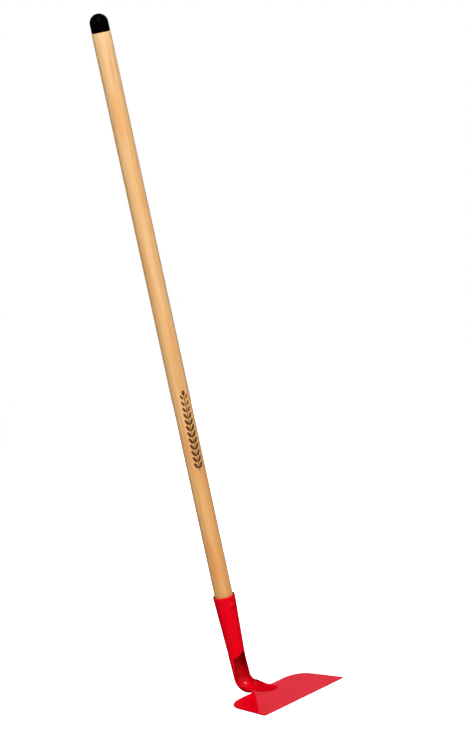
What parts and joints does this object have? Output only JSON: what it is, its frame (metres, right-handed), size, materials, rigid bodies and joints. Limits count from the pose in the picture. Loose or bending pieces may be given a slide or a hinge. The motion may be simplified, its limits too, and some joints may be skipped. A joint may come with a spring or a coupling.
{
  "type": "draw hoe",
  "caption": "Long-handled draw hoe: solid steel blade and rolled socket in one piece, wooden handle, through rivet and domed end cap.",
  "frame": {"origin": "on the handle's axis where the upper hand grips, 180 mm below the rim of the end cap", "axes": "+Z along the handle from the head to the end cap; +X towards the cutting edge; +Y across the blade"},
  "size_m": [0.1962, 0.1742, 1.186],
  "materials": {
    "red_enamel": "gloss",
    "lacquered_ash": "satin",
    "black_cap": "satin"
  },
  "bodies": {
    "root": {"hoe_head": "red_enamel", "socket_rivet": "red_enamel", "handle": "lacquered_ash", "end_cap": "black_cap"}
  },
  "joints": []
}
